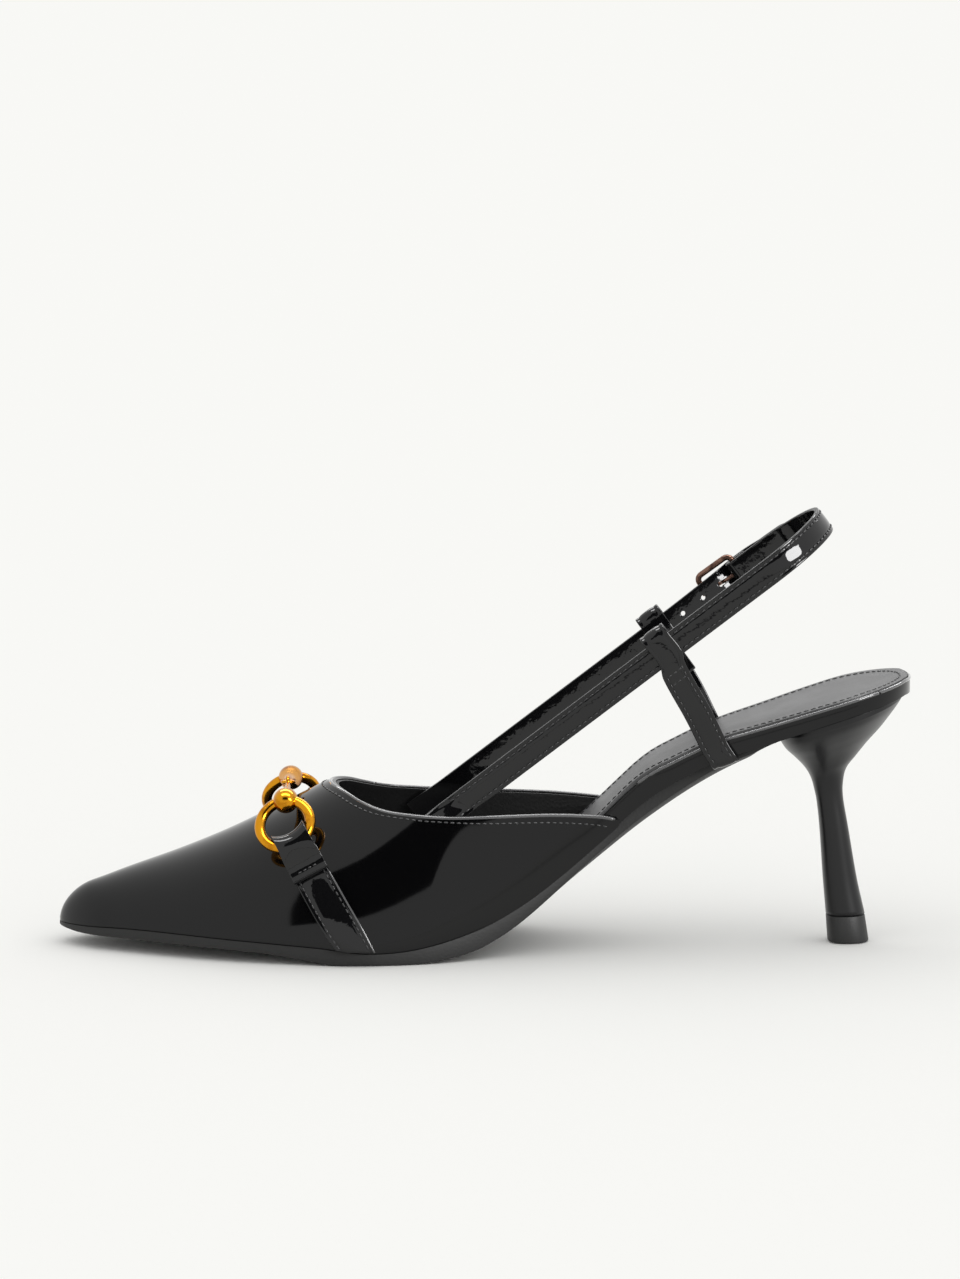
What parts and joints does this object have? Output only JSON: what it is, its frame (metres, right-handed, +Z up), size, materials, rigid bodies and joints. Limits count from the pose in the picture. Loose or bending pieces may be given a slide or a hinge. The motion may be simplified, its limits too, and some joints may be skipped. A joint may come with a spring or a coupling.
{
  "type": "high heel pump",
  "caption": "Pointed slingback pump on a slim covered heel, patent upper with ring-and-bit trim on the vamp, buckled ankle strap held by side tabs.",
  "frame": {"origin": "on the ground, under the middle of the whole length and width", "axes": "+X from toe to heel, +Z up, +Y to the outer (lateral) side with the strap buckle; right shoe"},
  "size_m": [0.2528, 0.0822, 0.1298],
  "materials": {
    "patent_leather": "high gloss",
    "lining_leather": "matt",
    "sock_leather": "brushed satin",
    "sole_leather": "matt",
    "cork": "rough",
    "fibre_board": "rough",
    "foam": "soft",
    "heel_cover": "satin",
    "lift_rubber": "matt",
    "gold_metal": "polished, darkened in the hollows",
    "dark_metal": "dark polished",
    "steel": "plain"
  },
  "bodies": {
    "shoe": {"outsole": "sole_leather", "bottom_filler": "cork", "steel_shank": "steel", "insole_board": "fibre_board", "footbed_band": "patent_leather", "heel_pad": "foam", "sock_lining": "sock_leather", "heel_block": "heel_cover", "heel_tube": "steel", "top_lift": "lift_rubber", "top_lift_pin": "steel", "heel_screw": "steel", "heel_nail_1": "steel", "heel_nail_2": "steel", "heel_nail_3": "steel", "heel_nail_4": "steel", "vamp_upper": "patent_leather", "toe_puff": "fibre_board", "vamp_lining": "lining_leather", "sling_strap": "patent_leather", "sling_billet": "patent_leather", "tab_medial": "patent_leather", "tab_lateral": "patent_leather", "vamp_strap_medial": "patent_leather", "vamp_strap_lateral": "patent_leather"},
    "ring_medial": {"ring_medial": "gold_metal"},
    "ring_lateral": {"ring_lateral": "gold_metal"},
    "bit_arm_medial": {"bit_arm_medial": "gold_metal"},
    "bit_arm_lateral": {"bit_arm_lateral": "gold_metal"},
    "buckle_frame": {"buckle_frame": "dark_metal"},
    "buckle_prong": {"buckle_prong": "dark_metal"}
  },
  "joints": [
    {"name": "ring_medial_tilt", "type": "hinge", "parent": "shoe", "child": "ring_medial", "pos_m": [-0.05492, -0.03008, 0.0342], "axis": [0.8831, 0.0754, 0.4631], "range_deg": [-3, 0]},
    {"name": "ring_lateral_tilt", "type": "hinge", "parent": "shoe", "child": "ring_lateral", "pos_m": [-0.05492, 0.03008, 0.0342], "axis": [0.8831, -0.0754, 0.4631], "range_deg": [0, 3]},
    {"name": "bit_arm_medial_swing", "type": "hinge", "parent": "ring_medial", "child": "bit_arm_medial", "pos_m": [-0.05805, -0.02118, 0.04565], "axis": [0.9744, -0.1843, 0.129], "range_deg": [0, 12.37]},
    {"name": "bit_arm_lateral_swing", "type": "hinge", "parent": "ring_lateral", "child": "bit_arm_lateral", "pos_m": [-0.05805, 0.02118, 0.04565], "axis": [0.9744, 0.1843, 0.129], "range_deg": [-12.37, 0]},
    {"name": "buckle_frame_swing", "type": "hinge", "parent": "shoe", "child": "buckle_frame", "pos_m": [0.0769, 0.0232, 0.1084], "axis": [0.6061, 0, -0.7954], "range_deg": [0, 3]},
    {"name": "buckle_prong_swing", "type": "hinge", "parent": "buckle_frame", "child": "buckle_prong", "pos_m": [0.0769, 0.0232, 0.1084], "axis": [0.6061, 0, -0.7954], "range_deg": [0, 3]}
  ],
  "couplings": [
    {"joint": "ring_lateral_tilt", "follows": "ring_medial_tilt", "ratio": -1},
    {"joint": "bit_arm_medial_swing", "follows": "ring_medial_tilt", "ratio": -4.108},
    {"joint": "bit_arm_lateral_swing", "follows": "ring_medial_tilt", "ratio": 4.108}
  ]
}
